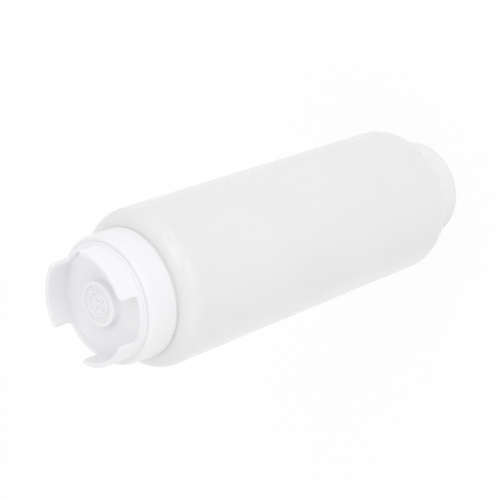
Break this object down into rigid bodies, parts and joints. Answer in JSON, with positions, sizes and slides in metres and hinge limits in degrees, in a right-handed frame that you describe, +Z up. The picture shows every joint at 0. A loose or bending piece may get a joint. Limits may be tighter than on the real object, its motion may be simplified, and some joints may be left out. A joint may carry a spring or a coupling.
{
  "type": "two-ended squeeze bottle with flip cover",
  "caption": "Squeeze bottle for sauces with a screw-on valve cap under a three-footed flip cover at one end and a screw refill cap at the other.",
  "frame": {"origin": "middle of the flat face of the refill cap, on which the bottle stands", "axes": "+Z up along the bottle's axis to the three feet of the flip cover, +Y towards the cover's hinge, -Y towards the notch where the cover is lifted"},
  "size_m": [0.073, 0.073, 0.2309],
  "materials": {
    "soft_bottle": "translucent natural soft plastic, satin",
    "white_cap": "white moulded plastic, satin",
    "refill_plastic": "natural moulded plastic, satin",
    "seal": "smooth pale rubber",
    "silicone": "matt translucent silicone"
  },
  "bodies": {
    "bottle": {"bottle_body": "soft_bottle"},
    "front_seal": {"dispensing_gasket": "seal"},
    "front_cap": {"dispensing_cap": "white_cap", "valve": "silicone", "valve_retainer": "white_cap"},
    "cover": {"flip_cover": "white_cap"},
    "rear_seal": {"refill_gasket": "seal"},
    "rear_cap": {"refill_cap": "refill_plastic"}
  },
  "joints": [
    {"name": "dispensing_cap_lift", "type": "slide", "parent": "bottle", "child": "front_seal", "axis": [0, 0, 1], "range_m": [0, 0.005]},
    {"name": "dispensing_cap_turn", "type": "hinge", "parent": "front_seal", "child": "front_cap", "pos_m": [0, 0, 0.2044], "axis": [0, 0, 1], "range_deg": [0, 450]},
    {"name": "flip_cover_hinge", "type": "hinge", "parent": "front_cap", "child": "cover", "pos_m": [0, 0.0312, 0.2176], "axis": [-1, 0, 0], "range_deg": [0, 170]},
    {"name": "refill_cap_lift", "type": "slide", "parent": "bottle", "child": "rear_seal", "axis": [0, 0, -1], "range_m": [0, 0.005]},
    {"name": "refill_cap_turn", "type": "hinge", "parent": "rear_seal", "child": "rear_cap", "pos_m": [0, 0, 0.0075], "axis": [0, 0, -1], "range_deg": [0, 450]}
  ],
  "couplings": [
    {"joint": "dispensing_cap_lift", "follows": "dispensing_cap_turn", "m_per_rad": 0.0006366},
    {"joint": "refill_cap_lift", "follows": "refill_cap_turn", "m_per_rad": 0.0006366}
  ]
}
